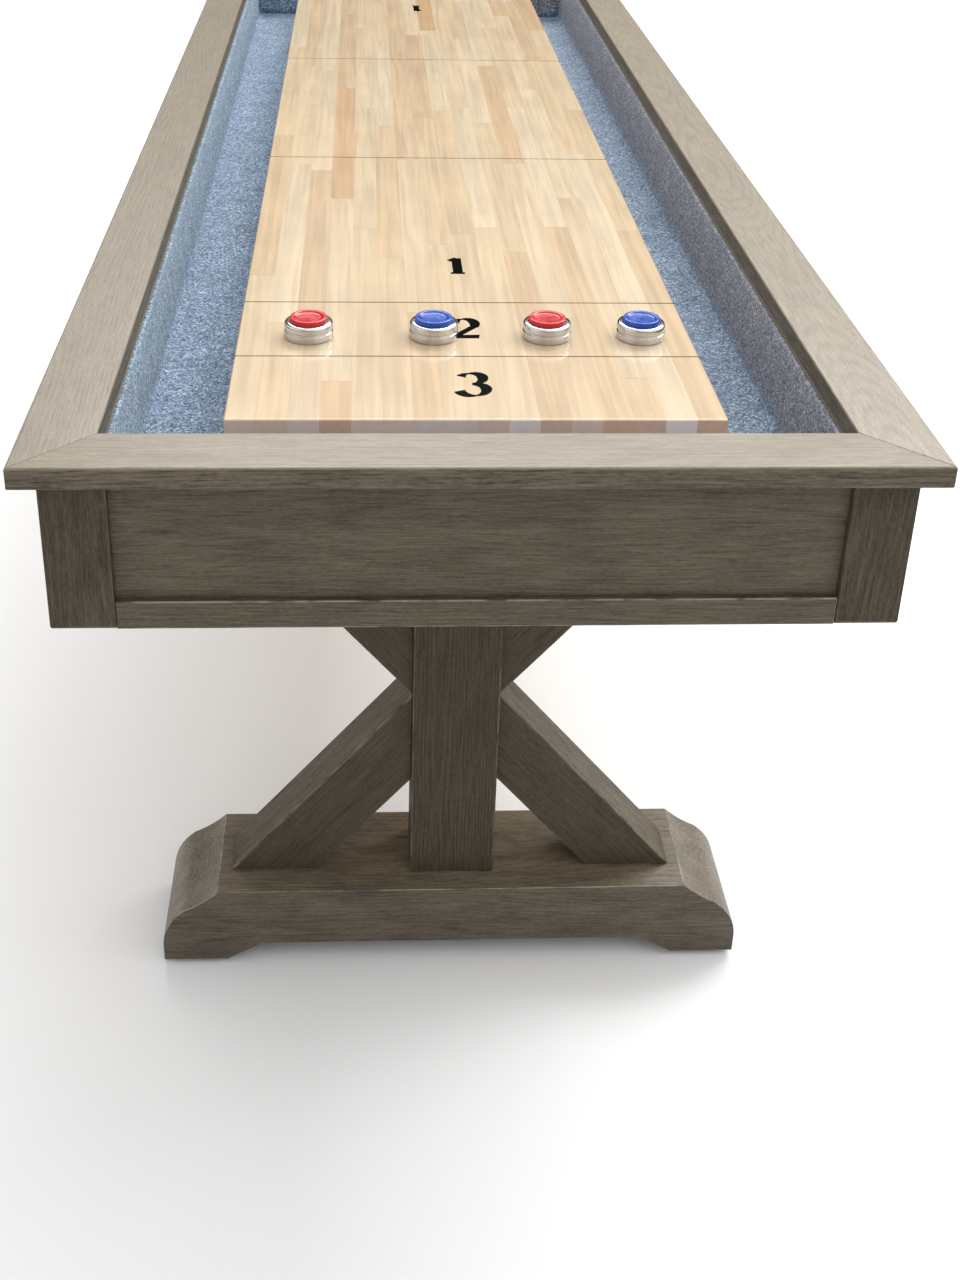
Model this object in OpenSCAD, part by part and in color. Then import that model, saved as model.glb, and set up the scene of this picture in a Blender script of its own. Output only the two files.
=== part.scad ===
// Table shuffleboard on two trestles, in millimetres.
// +Z is up, Y runs along the playfield, and the origin is on the floor below the table's centre.

/* [Table] */
// Overall length over the top rails
overall_l = 2743; // [2200:1:3700]
// Overall width over the top rails
overall_w = 883; // [730:1:1060]
// Height of the top rails above the floor
table_h = 876; // [730:1:1055]

/* [Playfield] */
// Width of the playing board
board_w = 508; // [420:1:610]
// Thickness of the playing board
board_t = 76; // [50:1:92]
// Drop from the top rails to the playing surface
board_drop = 15.5; // [8:0.5:22]
// Gap between each end of the board and the rail
end_gap = 61; // [45:1:90]

/* [Top rails] */
// Width of a top rail
rail_w = 74.5; // [62:0.5:90]
// Thickness of a top rail
rail_t = 22.5; // [18:0.5:27]
// Rounding of the upper arrises of the rails
rail_round = 2.5; // [1:0.5:5]
// How far the side rails stand out over the aprons
side_overhang = 21.5; // [10:0.5:26]
// How far the end rails stand out over the aprons
end_overhang = 27; // [10:0.5:32]

/* [Cabinet] */
// Height of the aprons below the rails
apron_h = 169.5; // [138:0.5:200]
// Visible width of a corner stile
stile_w = 64; // [50:1:80]
// Thickness of a stile
stile_t = 22; // [18:1:26]
// Chamfer at the foot of a stile
stile_chamfer = 4; // [2:0.5:6]
// Height of a bottom rail
bottom_rail_h = 31; // [25:1:40]
// How far a bottom rail stands back from the stiles
bottom_rail_back = 2; // [1:0.5:4]
// How far an apron panel stands back from the stiles
panel_back = 9.5; // [4:0.5:12]
// Depth of the gutter, from the top rails down to its carpet
gutter_depth = 132; // [110:1:158]
// Thickness of the carpet
carpet_t = 4; // [2:0.5:6]
// Bare wood between the rails and the top edge of the carpet
carpet_drop = 3; // [1:0.5:10]
// How far the gutter carpet reaches in under the board
carpet_under = 30; // [10:1:36]
// Thickness of the cabinet floor
floor_t = 18; // [12:1:22]
// Width of the cross bearers under the cabinet floor
bearer_w = 90; // [70:1:110]

/* [Playfield supports] */
// Width of the cross supports between the cabinet floor and the board
support_w = 60; // [40:1:80]
// How far the cross supports stop short of the board's long edges
support_inset = 42; // [40:1:70]
// Thickness of the steel angles of a climate adjuster
angle_t = 5; // [4:0.5:6]
// Length of a steel angle along the board
angle_l = 60; // [40:1:80]
// How far the steel angles stand in from the board's long edges
angle_inset = 60; // [45:1:90]
// Radius of a climate adjuster's threaded rod
rod_r = 6; // [5:0.5:7]

/* [Trestles] */
// Distance from the end of the table to the middle of a trestle
trestle_inset = 360; // [300:1:450]
// Overall length of a foot
foot_l = 749; // [620:1:900]
// Length of the moulding at each end of a foot
foot_end = 73; // [65:1:90]
// Depth of a foot
foot_d = 155; // [128:1:190]
// Height of the top of a foot above the floor
foot_top = 120.5; // [110:0.5:145]
// Radius of the large round of the end moulding
foot_round = 72; // [50:1:74]
// Radius of the shallow cove above it
foot_cove = 150; // [120:1:200]
// Height of the arch cut into the underside of a foot
arch_h = 25.5; // [15:0.5:30]
// Length of the pad at each end of the arch
foot_pad = 83; // [70:1:120]
// Slope of the ends of the arch
arch_slope = 30; // [25:1:60]
// Width of the centre post
post_w = 108; // [90:1:130]
// Depth of the centre post
post_d = 89; // [74:1:108]
// Depth of the braces
brace_d = 70; // [50:1:74]
// Width of the braces
brace_w = 84; // [60:1:100]
// Angle between the lower braces and the floor
brace_angle = 49.5; // [45:0.5:55]
// Flat left on a foot between the toe of a brace and the end moulding
toe_setback = 14.5; // [5:0.5:30]
// Distance from the middle of the beam to the outer toe of an upper brace
upper_toe = 253.5; // [220:0.5:270]
// Height of the beam under the cabinet
beam_h = 60; // [45:1:75]
// Depth of the beam under the cabinet
beam_d = 120; // [108:1:150]

/* [Hardware] */
// Radius of a leveller's pad
pad_r = 22; // [16:1:27]
// Height of a leveller's pad
pad_h = 8; // [6:0.5:12]
// Radius of a leveller's stem
stem_r = 5; // [4:0.5:6]
// Radius of the shank of a lag bolt
bolt_r = 5; // [4:0.5:6]

/* [Pucks] */
// Radius of a puck
puck_r = 27; // [26:0.05:32]
// Height of the steel weight of a puck
weight_h = 19; // [16:0.5:22]
// Distance from the table's end to the middle of its row of pucks
puck_inset = 352; // [300:1:450]

/* [Hidden] */
$fn = 96;

// Finishes
oak = [0.42, 0.38, 0.32];
rail_oak = [0.75, 0.71, 0.66];
maple = [0.90, 0.76, 0.62];
felt = [0.50, 0.58, 0.67];
ply = [0.78, 0.67, 0.50];
steel = [0.72, 0.73, 0.75];
red = [0.72, 0.10, 0.10];
blue = [0.10, 0.22, 0.62];

// Levels, as heights above the floor
rail_bottom = table_h - rail_t;
cabinet_bottom = rail_bottom - apron_h;
board_top = table_h - board_drop;
board_bottom = board_top - board_t;
floor_top = table_h - gutter_depth - carpet_t;
floor_bottom = floor_top - floor_t;
beam_bottom = cabinet_bottom - beam_h;

// Half sizes in plan, from the middle of the table
half_l = overall_l / 2;
half_w = overall_w / 2;
inner_l = half_l - rail_w;
inner_w = half_w - rail_w;
face_l = half_l - end_overhang;
face_w = half_w - side_overhang;
wall_l = face_l - stile_t;
wall_w = face_w - stile_t;
board_l = 2 * (inner_l - end_gap);
trestle_y = half_l - trestle_inset;

// Clearances
key_fit = 0.1;
tenon_fit = 0.2;
bolt_fit = 0.3;
turning_fit = 0.06;
turning_gap = 0.3;

// Draws its children once for each end or side of the table, looking out along +Y
module both_ends() {
    for (turn = [0, 180])
        rotate([0, 0, turn])
            children();
}

module both_sides() {
    for (turn = [-90, 90])
        rotate([0, 0, turn])
            children();
}

// ---------------------------------------------------------------- top rails

// Section of a rail: x runs across the rail and y is the height
module rail_section() {
    square([rail_w, rail_t - rail_round]);
    translate([rail_round, 0])
        square([rail_w - 2 * rail_round, rail_t]);
    for (x = [rail_round, rail_w - rail_round])
        translate([x, rail_t - rail_round])
            circle(r = rail_round);
}

// Splines hidden in the four mitres, or the slots for them where fit is above 0
key_l = 46;
key_w = 24;
key_t = 3;
module splines(fit) {
    for (sx = [-1, 1], sy = [-1, 1])
        translate([sx * (half_w - rail_w / 2), sy * (half_l - rail_w / 2),
                rail_bottom + rail_t / 2])
            rotate([0, 0, sx * sy * -45])
                cube([key_l + 2 * fit, key_w + 2 * fit, key_t + 2 * fit], center = true);
}

// A rail along X with its outer edge at y = out and a mitre at each end
module mitred_rail(half, out) {
    intersection() {
        translate([-half, out - rail_w, rail_bottom])
            rotate([90, 0, 90])
                linear_extrude(2 * half)
                    rail_section();
        translate([0, 0, rail_bottom])
            linear_extrude(rail_t)
                polygon([[-half, out], [half, out],
                    [half - rail_w, out - rail_w], [rail_w - half, out - rail_w]]);
    }
}

module rail(turn, half, out) {
    color(rail_oak)
        difference() {
            rotate([0, 0, turn])
                mitred_rail(half, out);
            splines(key_fit);
        }
}

module rail_left() {
    rail(90, half_l, half_w);
}

module rail_right() {
    rail(-90, half_l, half_w);
}

module rail_near() {
    rail(180, half_w, half_l);
}

module rail_far() {
    rail(0, half_w, half_l);
}

module mitre_keys() {
    color(ply)
        splines(0);
}

// ---------------------------------------------------------------- aprons

// An upright from x to x + w with its face at y = face, chamfered along the foot
module stile(x, w, face) {
    translate([x, face, cabinet_bottom])
        rotate([90, 0, 90])
            linear_extrude(w)
                polygon([[-stile_t, 0], [-stile_chamfer, 0], [0, stile_chamfer],
                    [0, apron_h], [-stile_t, apron_h]]);
}

// A board in each bay of an apron, its back on the wall and its face set back from the stiles
module bay_boards(bays, face, back, z, h) {
    for (bay = bays)
        translate([bay[0], face - stile_t, z])
            cube([bay[1] - bay[0], stile_t - back, h]);
}

// The end stiles cover the edges of the side stiles, which are narrower by that much
corner_w = stile_w - stile_t;
stile_third = round(wall_l / 3);
middle_stiles = [-stile_third, stile_third];
end_bays = [[stile_w - face_w, face_w - stile_w]];
side_bays = [
    [corner_w - wall_l, middle_stiles[0] - stile_w / 2],
    [middle_stiles[0] + stile_w / 2, middle_stiles[1] - stile_w / 2],
    [middle_stiles[1] + stile_w / 2, wall_l - corner_w]];
panel_bottom = cabinet_bottom + bottom_rail_h;

module end_stiles() {
    color(oak)
        both_ends() {
            stile(-face_w, stile_w, face_l);
            stile(face_w - stile_w, stile_w, face_l);
        }
}

module side_stiles() {
    color(oak)
        both_sides() {
            stile(-wall_l, corner_w, face_w);
            stile(wall_l - corner_w, corner_w, face_w);
            for (y = middle_stiles)
                stile(y - stile_w / 2, stile_w, face_w);
        }
}

module end_bottom_rails() {
    color(oak)
        both_ends()
            bay_boards(end_bays, face_l, bottom_rail_back, cabinet_bottom, bottom_rail_h);
}

module side_bottom_rails() {
    color(oak)
        both_sides()
            bay_boards(side_bays, face_w, bottom_rail_back, cabinet_bottom, bottom_rail_h);
}

module end_panels() {
    color(oak)
        both_ends()
            bay_boards(end_bays, face_l, panel_back, panel_bottom, rail_bottom - panel_bottom);
}

module side_panels() {
    color(oak)
        both_sides()
            bay_boards(side_bays, face_w, panel_back, panel_bottom, rail_bottom - panel_bottom);
}

// ---------------------------------------------------------------- cabinet

// The side walls run the full length, and the end walls fit between them
module side_wall(x) {
    color(ply)
        translate([x, -wall_l, cabinet_bottom])
            cube([wall_w - inner_w, 2 * wall_l, apron_h]);
}

module end_wall(y) {
    color(ply)
        translate([-inner_w, y, cabinet_bottom])
            cube([2 * inner_w, wall_l - inner_l, apron_h]);
}

module wall_left() {
    side_wall(-wall_w);
}

module wall_right() {
    side_wall(inner_w);
}

module wall_near() {
    end_wall(-wall_l);
}

module wall_far() {
    end_wall(inner_l);
}

module cabinet_floor() {
    color(ply)
        translate([-inner_w, -inner_l, floor_bottom])
            cube([2 * inner_w, 2 * inner_l, floor_t]);
}

// Bearers below the floor, one over each trestle and two between them
module cross_bearers() {
    color(ply)
        difference() {
            for (y = [-trestle_y, -trestle_y / 3, trestle_y / 3, trestle_y])
                translate([-inner_w, y - bearer_w / 2, cabinet_bottom])
                    cube([2 * inner_w, bearer_w, floor_bottom - cabinet_bottom]);
            both_ends()
                bolt_holes();
        }
}

// Gutter carpets: a strip on the floor, turned up the wall
carpet_up = rail_bottom - carpet_drop - floor_top;
side_run = inner_w - board_w / 2 + carpet_under;
end_run = end_gap + carpet_under;

// The side carpets run the full length of the cabinet
module side_carpet() {
    color(felt)
        translate([-inner_l, inner_w, floor_top])
            rotate([90, 0, 90])
                linear_extrude(2 * inner_l)
                    polygon([[0, 0], [0, carpet_up], [-carpet_t, carpet_up],
                        [-carpet_t, carpet_t], [-side_run, carpet_t], [-side_run, 0]]);
}

// The end carpets fit between the side carpets
module end_carpet() {
    color(felt)
        translate([0, inner_l, floor_top]) {
            translate([side_run - inner_w, -end_run, 0])
                cube([2 * (inner_w - side_run), end_run, carpet_t]);
            translate([carpet_t - inner_w, -carpet_t, carpet_t])
                cube([2 * (inner_w - carpet_t), carpet_t, carpet_up - carpet_t]);
        }
}

module carpet_left() {
    rotate([0, 0, 90])
        side_carpet();
}

module carpet_right() {
    rotate([0, 0, -90])
        side_carpet();
}

module carpet_near() {
    rotate([0, 0, 180])
        end_carpet();
}

module carpet_far() {
    end_carpet();
}

// ---------------------------------------------------------------- playfield

module playfield() {
    color(maple)
        translate([-board_w / 2, -board_l / 2, board_bottom])
            cube([board_w, board_l, board_t]);
}

// Four cross supports share the board's length, with an adjuster between each two
support_half = board_w / 2 - support_inset;
module playfield_supports() {
    color(ply)
        for (k = [-3, -1, 1, 3])
            translate([-support_half, k * board_l / 8 - support_w / 2, floor_top])
                cube([2 * support_half, support_w, board_bottom - floor_top]);
}

adjuster_y = [-board_l / 4, 0, board_l / 4];
rod_z = (board_bottom + floor_top) / 2;
angle_x = board_w / 2 - angle_inset;
angle_drop = board_bottom - rod_z + rod_r + 4;
angle_plate = 45;
nut_r = 10;
nut_l = 8;
rod_tail = 5;

// Steel angles under the board, bored for the rod that draws the two long edges together
module adjuster_angles() {
    color(steel)
        for (y = adjuster_y)
            difference() {
                for (turn = [0, 180])
                    translate([0, y, board_bottom])
                        rotate([0, 0, turn])
                            translate([0, angle_l / 2, 0])
                                rotate([90, 0, 0])
                                    linear_extrude(angle_l)
                                        polygon([[angle_x, 0], [angle_x - angle_plate, 0],
                                            [angle_x - angle_plate, -angle_t],
                                            [angle_x - angle_t, -angle_t],
                                            [angle_x - angle_t, -angle_drop],
                                            [angle_x, -angle_drop]]);
                translate([-angle_x - 1, y, rod_z])
                    rotate([0, 90, 0])
                        cylinder(r = rod_r + turning_fit, h = 2 * angle_x + 2);
            }
}

// Threaded rod with a fixed nut outside each angle and a hexagon in the middle for the spanner
module adjuster_rod(y) {
    nut_x = angle_x + turning_gap;
    color(steel)
        translate([0, y, rod_z])
            rotate([0, 90, 0]) {
                translate([0, 0, -nut_x - nut_l - rod_tail])
                    cylinder(r = rod_r, h = 2 * (nut_x + nut_l + rod_tail));
                for (z = [-nut_x - nut_l, nut_x])
                    translate([0, 0, z])
                        cylinder(r = nut_r, h = nut_l, $fn = 6);
                translate([0, 0, -nut_l * 1.5])
                    cylinder(r = nut_r, h = nut_l * 3, $fn = 6);
            }
}

// ---------------------------------------------------------------- trestles

foot_bottom = pad_h + turning_gap;
foot_half = foot_l / 2;
flat_half = foot_half - foot_end;
post_half = post_w / 2;
// The cove falls from the flat and cuts a little way into the large round
cove_run = 38;
cove_bite = 0.8;
round_x = foot_half - foot_round;
round_drop = 88;
round_rise = sqrt(pow(foot_round, 2) - pow(flat_half + cove_run - round_x, 2));
cove_drop = round_drop - round_rise + cove_bite;
cove_chord = norm([cove_run, cove_drop]);
cove_reach = sqrt(pow(foot_cove, 2) - pow(cove_chord / 2, 2));

// Half of a foot's outline, x outwards from the middle and y above the floor
module half_foot_outline() {
    difference() {
        union() {
            translate([0, foot_bottom])
                square([flat_half, foot_top - foot_bottom]);
            translate([0, foot_bottom])
                square([foot_half, foot_top - round_drop - foot_bottom]);
            intersection() {
                translate([round_x, foot_top - round_drop])
                    circle(r = foot_round);
                translate([0, foot_bottom])
                    square([foot_half, foot_top - foot_bottom]);
            }
            polygon([[flat_half - 1, foot_bottom], [flat_half - 1, foot_top],
                [flat_half, foot_top], [flat_half + cove_run, foot_top - cove_drop],
                [flat_half + cove_run, foot_bottom]]);
        }
        translate([flat_half, foot_top]
                + [cove_run, -cove_drop] / 2
                + [cove_drop, cove_run] * cove_reach / cove_chord)
            circle(r = foot_cove);
        polygon([[-1, foot_bottom - 1], [-1, foot_bottom + arch_h],
            [foot_half - foot_pad - arch_h / tan(arch_slope), foot_bottom + arch_h],
            [foot_half - foot_pad, foot_bottom], [foot_half - foot_pad, foot_bottom - 1]]);
    }
}

// Stub tenons of the post, or their mortises where fit is above 0
tenon = [70, 45, 40];
module tenons(fit) {
    for (z = [foot_top - tenon[2] - fit, beam_bottom - 1])
        translate([-tenon[0] / 2 - fit, -tenon[1] / 2 - fit, z])
            cube([tenon[0] + 2 * fit, tenon[1] + 2 * fit, tenon[2] + 1 + fit]);
}

// T-nuts let into the foot, one over each pad
leveller_x = foot_half - foot_pad / 2;
nut_flange_r = 14;
nut_flange_t = 2;
nut_barrel_r = 7.5;
nut_barrel_l = 16;
stem_l = 34;
module leveller_sockets() {
    for (x = [-leveller_x, leveller_x])
        translate([x, 0, foot_bottom]) {
            translate([0, 0, -1])
                cylinder(r = nut_flange_r + key_fit, h = nut_flange_t + 1);
            cylinder(r = nut_barrel_r + key_fit, h = nut_flange_t + nut_barrel_l);
            cylinder(r = stem_r + 1, h = stem_l + 6);
        }
}

module foot() {
    color(oak)
        difference() {
            for (side = [0, 1])
                mirror([side, 0, 0])
                    translate([0, foot_d / 2, 0])
                        rotate([90, 0, 0])
                            linear_extrude(foot_d)
                                half_foot_outline();
            tenons(tenon_fit);
            leveller_sockets();
        }
}

module post() {
    color(oak) {
        translate([-post_half, -post_d / 2, foot_top])
            cube([post_w, post_d, beam_bottom - foot_top]);
        tenons(0);
    }
}

// A band of width brace_w that leaves [x, z] at the given angle, on its left side
module band(x, z, angle) {
    translate([x, z])
        rotate(angle)
            translate([-table_h, 0])
                square([2 * table_h, brace_w]);
}

// Both braces of a pair, cut off at the post and between the heights low and high
module braces(low, high) {
    color(oak)
        for (side = [0, 1])
            mirror([side, 0, 0])
                translate([0, brace_d / 2, 0])
                    rotate([90, 0, 0])
                        linear_extrude(brace_d)
                            intersection() {
                                translate([post_half, low])
                                    square([foot_half + upper_toe, high - low]);
                                children();
                            }
}

// The upper edge of the lower brace and the lower edge of the upper one meet at the post
brace_toe = flat_half - toe_setback;
meet_z = foot_top + (brace_toe - post_half) * tan(brace_angle);
upper_angle = atan2(beam_bottom - meet_z, upper_toe - post_half);

module lower_braces() {
    braces(foot_top, meet_z)
        band(brace_toe, foot_top, 180 - brace_angle);
}

module upper_braces() {
    braces(meet_z, beam_bottom)
        band(post_half, meet_z, upper_angle);
}

// Beam that carries the cabinet, its ends cut back below
beam_half = inner_w - 10;
beam_cut = 25;
module beam() {
    color(oak)
        difference() {
            translate([0, beam_d / 2, 0])
                rotate([90, 0, 0])
                    linear_extrude(beam_d)
                        polygon([[-beam_half, cabinet_bottom], [beam_half, cabinet_bottom],
                            [beam_half, cabinet_bottom - beam_cut],
                            [beam_half - beam_cut, beam_bottom],
                            [beam_cut - beam_half, beam_bottom],
                            [-beam_half, cabinet_bottom - beam_cut]]);
            tenons(tenon_fit);
            translate([0, trestle_y, 0])
                bolt_holes();
        }
}

// Lag bolts from below the beam into the bearer over it, two at each end
bolt_x = beam_half - beam_cut - 20;
bolt_y = 28;
head_r = 9;
head_h = 6.5;
module at_bolts() {
    for (x = [-bolt_x, bolt_x], y = [-bolt_y, bolt_y])
        translate([x, y - trestle_y, 0])
            children();
}

module bolt_holes() {
    at_bolts()
        translate([0, 0, beam_bottom - 1])
            cylinder(r = bolt_r + bolt_fit, h = floor_bottom - beam_bottom);
}

module lag_bolts() {
    color(steel)
        at_bolts()
            translate([0, trestle_y, beam_bottom - head_h]) {
                cylinder(r = head_r, h = head_h, $fn = 6);
                cylinder(r = bolt_r, h = floor_bottom - beam_bottom + head_h - 2);
            }
}

// Puts a trestle's piece below the near (-1) or the far (1) end
module at_trestle(end) {
    translate([0, end * trestle_y, 0])
        children();
}

// ---------------------------------------------------------------- levellers

module leveller_nuts() {
    color(steel)
        for (x = [-leveller_x, leveller_x], y = [-trestle_y, trestle_y])
            translate([x, y, foot_bottom])
                difference() {
                    union() {
                        cylinder(r = nut_flange_r, h = nut_flange_t);
                        cylinder(r = nut_barrel_r, h = nut_flange_t + nut_barrel_l);
                    }
                    translate([0, 0, -1])
                        cylinder(r = stem_r + turning_fit, h = nut_flange_t + nut_barrel_l + 2);
                }
}

// Round pad with a threaded stem that turns in its T-nut
module leveller(sx, sy) {
    color(steel)
        translate([sx * leveller_x, sy * trestle_y, 0])
            rotate_extrude()
                polygon([[0, 0], [pad_r - 1, 0], [pad_r, 1], [pad_r, pad_h - 2],
                    [pad_r - 2, pad_h], [stem_r, pad_h], [stem_r, pad_h + stem_l],
                    [0, pad_h + stem_l]]);
}

// ---------------------------------------------------------------- pucks

cap_r = 20.8;
cap_seat = 15.5;
cap_h = 24;
hub_r = 8;
puck_x = [79 - board_w / 2, -36, 91, board_w / 2 - 57];

module at_puck(n) {
    translate([puck_x[(n - 1) % 4], (n > 4 ? 1 : -1) * (half_l - puck_inset), board_top])
        children();
}

// Turned steel weight: rim, waist and a recess that the cap screws into
module puck_weight(n) {
    color(steel)
        at_puck(n)
            rotate_extrude()
                polygon([[0, 0.6], [puck_r - 4, 0.6], [puck_r - 3, 0], [puck_r - 1.5, 0],
                    [puck_r, 1.5], [puck_r, 7.5], [puck_r - 1.2, 8.7], [puck_r - 1.2, 10.3],
                    [puck_r, 11.5], [puck_r, weight_h - 5], [puck_r - 4.5, weight_h],
                    [cap_r + turning_gap, weight_h], [cap_r + turning_gap, cap_seat],
                    [hub_r, cap_seat], [hub_r, 5], [0, 5]]);
}

// Plastic cap with a shallow dish in its top and a hub below
module puck_cap(n) {
    color(n % 2 == 1 ? red : blue)
        at_puck(n)
            rotate_extrude()
                polygon([[0, 5.3], [hub_r - key_fit, 5.3], [hub_r - key_fit, cap_seat],
                    [cap_r, cap_seat], [cap_r, cap_h - 2], [cap_r - 2, cap_h],
                    [cap_r - 5, cap_h], [cap_r - 7, cap_h - 1.5], [0, cap_h - 1.5]]);
}

rail_left();
rail_right();
rail_near();
rail_far();
mitre_keys();
end_stiles();
side_stiles();
end_bottom_rails();
side_bottom_rails();
end_panels();
side_panels();
wall_left();
wall_right();
wall_near();
wall_far();
cabinet_floor();
cross_bearers();
carpet_left();
carpet_right();
carpet_near();
carpet_far();
playfield();
playfield_supports();
adjuster_angles();
adjuster_rod(adjuster_y[0]);  // adjuster_rod_1
adjuster_rod(adjuster_y[1]);  // adjuster_rod_2
adjuster_rod(adjuster_y[2]);  // adjuster_rod_3
at_trestle(-1) foot();  // near_foot
at_trestle(-1) post();  // near_post
at_trestle(-1) lower_braces();  // near_lower_braces
at_trestle(-1) upper_braces();  // near_upper_braces
at_trestle(-1) beam();  // near_beam
at_trestle(-1) lag_bolts();  // near_lag_bolts
at_trestle(1) foot();  // far_foot
at_trestle(1) post();  // far_post
at_trestle(1) lower_braces();  // far_lower_braces
at_trestle(1) upper_braces();  // far_upper_braces
at_trestle(1) beam();  // far_beam
at_trestle(1) lag_bolts();  // far_lag_bolts
leveller_nuts();
leveller(-1, -1);  // leveller_1
leveller(1, -1);  // leveller_2
leveller(-1, 1);  // leveller_3
leveller(1, 1);  // leveller_4
puck_weight(1);  // puck_1_weight
puck_cap(1);  // puck_1_cap
puck_weight(2);  // puck_2_weight
puck_cap(2);  // puck_2_cap
puck_weight(3);  // puck_3_weight
puck_cap(3);  // puck_3_cap
puck_weight(4);  // puck_4_weight
puck_cap(4);  // puck_4_cap
puck_weight(5);  // puck_5_weight
puck_cap(5);  // puck_5_cap
puck_weight(6);  // puck_6_weight
puck_cap(6);  // puck_6_cap
puck_weight(7);  // puck_7_weight
puck_cap(7);  // puck_7_cap
puck_weight(8);  // puck_8_weight
puck_cap(8);  // puck_8_cap
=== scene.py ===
"""A long shuffleboard table: mitred rails and panelled aprons of weathered oak on two cross-braced
trestles, a lacquered maple board standing in a carpeted gutter, and eight turned pucks.
Metres throughout; the board runs along Y and the floor is at Z = 0."""

import bmesh
import bpy
import math
import numpy as np
from mathutils import Matrix, Vector


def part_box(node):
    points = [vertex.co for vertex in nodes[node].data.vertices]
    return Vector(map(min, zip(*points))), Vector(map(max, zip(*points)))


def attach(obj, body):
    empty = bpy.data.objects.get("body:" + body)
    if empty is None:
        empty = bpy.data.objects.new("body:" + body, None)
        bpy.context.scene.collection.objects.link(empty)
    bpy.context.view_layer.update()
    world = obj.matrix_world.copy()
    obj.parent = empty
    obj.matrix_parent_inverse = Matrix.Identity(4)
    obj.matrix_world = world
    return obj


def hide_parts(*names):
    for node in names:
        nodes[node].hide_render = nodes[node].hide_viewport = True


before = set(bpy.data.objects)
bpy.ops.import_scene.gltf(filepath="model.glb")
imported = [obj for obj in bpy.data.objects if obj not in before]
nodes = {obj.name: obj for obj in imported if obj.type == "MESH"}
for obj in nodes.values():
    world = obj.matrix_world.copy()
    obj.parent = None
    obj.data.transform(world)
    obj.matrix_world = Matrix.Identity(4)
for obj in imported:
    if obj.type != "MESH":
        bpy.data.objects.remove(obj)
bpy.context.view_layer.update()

# ---------------------------------------------------------------- room
# A pale floor, a broad soft light overhead, a strong one high beyond the far end that rakes the
# top rails, a weak one in front, and a camera at standing height before the near end.


def put(tree, kind, inputs=None, **settings):
    """Adds a node to a tree, gives it its settings, and sets or links its inputs, which go by
    name or by their number from the top."""
    node = tree.nodes.new("ShaderNode" + kind)
    for name, value in settings.items():
        setattr(node, name, value)
    for name, value in (inputs or {}).items():
        if isinstance(value, bpy.types.NodeSocket):
            tree.links.new(value, node.inputs[name])
        else:
            node.inputs[name].default_value = value
    return node


def new_material(name):
    """An empty node material and its tree, with the Principled shader already on the output."""
    material = bpy.data.materials.new(name)
    material.use_nodes = True
    return material, material.node_tree, material.node_tree.nodes["Principled BSDF"]


def softbox(name, place, aim, width, height, radiance):
    """A rectangular light of even brightness: its power is radiance x area x pi."""
    lamp = bpy.data.lights.new(name, "AREA")
    lamp.shape = "RECTANGLE"
    lamp.size = width
    lamp.size_y = height
    lamp.energy = radiance * width * height * math.pi
    light = bpy.data.objects.new(name, lamp)
    bpy.context.scene.collection.objects.link(light)
    light.location = place
    light.rotation_euler = (Vector(aim) - Vector(place)).to_track_quat("-Z", "Y").to_euler()
    light.visible_camera = False


softbox("overhead", (0.9, -0.3, 4.6), (0.4, -0.3, 0.8), 5.5, 5.5, 1.1)
softbox("far", (2.6, 3.9, 5.7), (1.4, -1.2, 0.8), 9.5, 3.2, 7.6)
softbox("front", (1.2, -4.6, 4.8), (0.0, -1.2, 0.6), 5.0, 3.0, 1.0)

world = bpy.data.worlds.new("studio")
bpy.context.scene.world = world
world.use_nodes = True
sky = world.node_tree
sky.nodes.clear()
towards = put(sky, "SeparateXYZ", {0: put(sky, "TexCoord").outputs["Generated"]}).outputs
front_glow = put(sky, "MapRange", {0: towards[1], 1: -0.5, 2: 0.7, 3: 0.5, 4: 0.02}).outputs[0]
right_glow = put(sky, "MapRange", {0: towards[0], 1: 0.35, 2: 0.95, 3: 0.0, 4: 1.15}).outputs[0]
left_glow = put(sky, "MapRange", {0: towards[0], 1: -0.35, 2: -0.95, 3: 0.0, 4: 1.0}).outputs[0]
side_glow = put(sky, "Math", {0: right_glow, 1: left_glow}, operation="ADD").outputs[0]
glow = put(sky, "Math", {0: front_glow, 1: side_glow}, operation="ADD").outputs[0]
ambient = put(sky, "Background", {"Color": (0.96, 0.98, 1.0, 1), "Strength": glow})
backdrop = put(sky, "Background", {"Color": (0.93, 0.93, 0.93, 1), "Strength": 1.0})
seen = put(sky, "LightPath")
either = put(sky, "MixShader", {0: seen.outputs["Is Camera Ray"], 1: ambient.outputs[0]})
sky.links.new(backdrop.outputs[0], either.inputs[2])
sky.links.new(either.outputs[0], put(sky, "OutputWorld").inputs["Surface"])
bpy.context.scene.view_settings.view_transform = "Standard"

floor_half = 30.0
floor_mesh = bpy.data.meshes.new("floor")
floor_mesh.from_pydata(
    [(-floor_half, -floor_half, 0), (floor_half, -floor_half, 0),
     (floor_half, floor_half, 0), (-floor_half, floor_half, 0)], [], [(0, 1, 2, 3)])
floor = bpy.data.objects.new("floor", floor_mesh)
bpy.context.scene.collection.objects.link(floor)
floor_paint, tree, shader = new_material("pale floor")
place = put(tree, "TexCoord").outputs["Object"]
mottle = put(tree, "TexNoise", {"Vector": place, "Scale": 3.0, "Detail": 4.0})
shade = put(tree, "MapRange", {0: mottle.outputs[0], 3: 0.91, 4: 0.93})
tree.links.new(shade.outputs[0], shader.inputs["Base Color"])
shader.inputs["Roughness"].default_value = 0.9
floor_mesh.materials.append(floor_paint)

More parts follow.
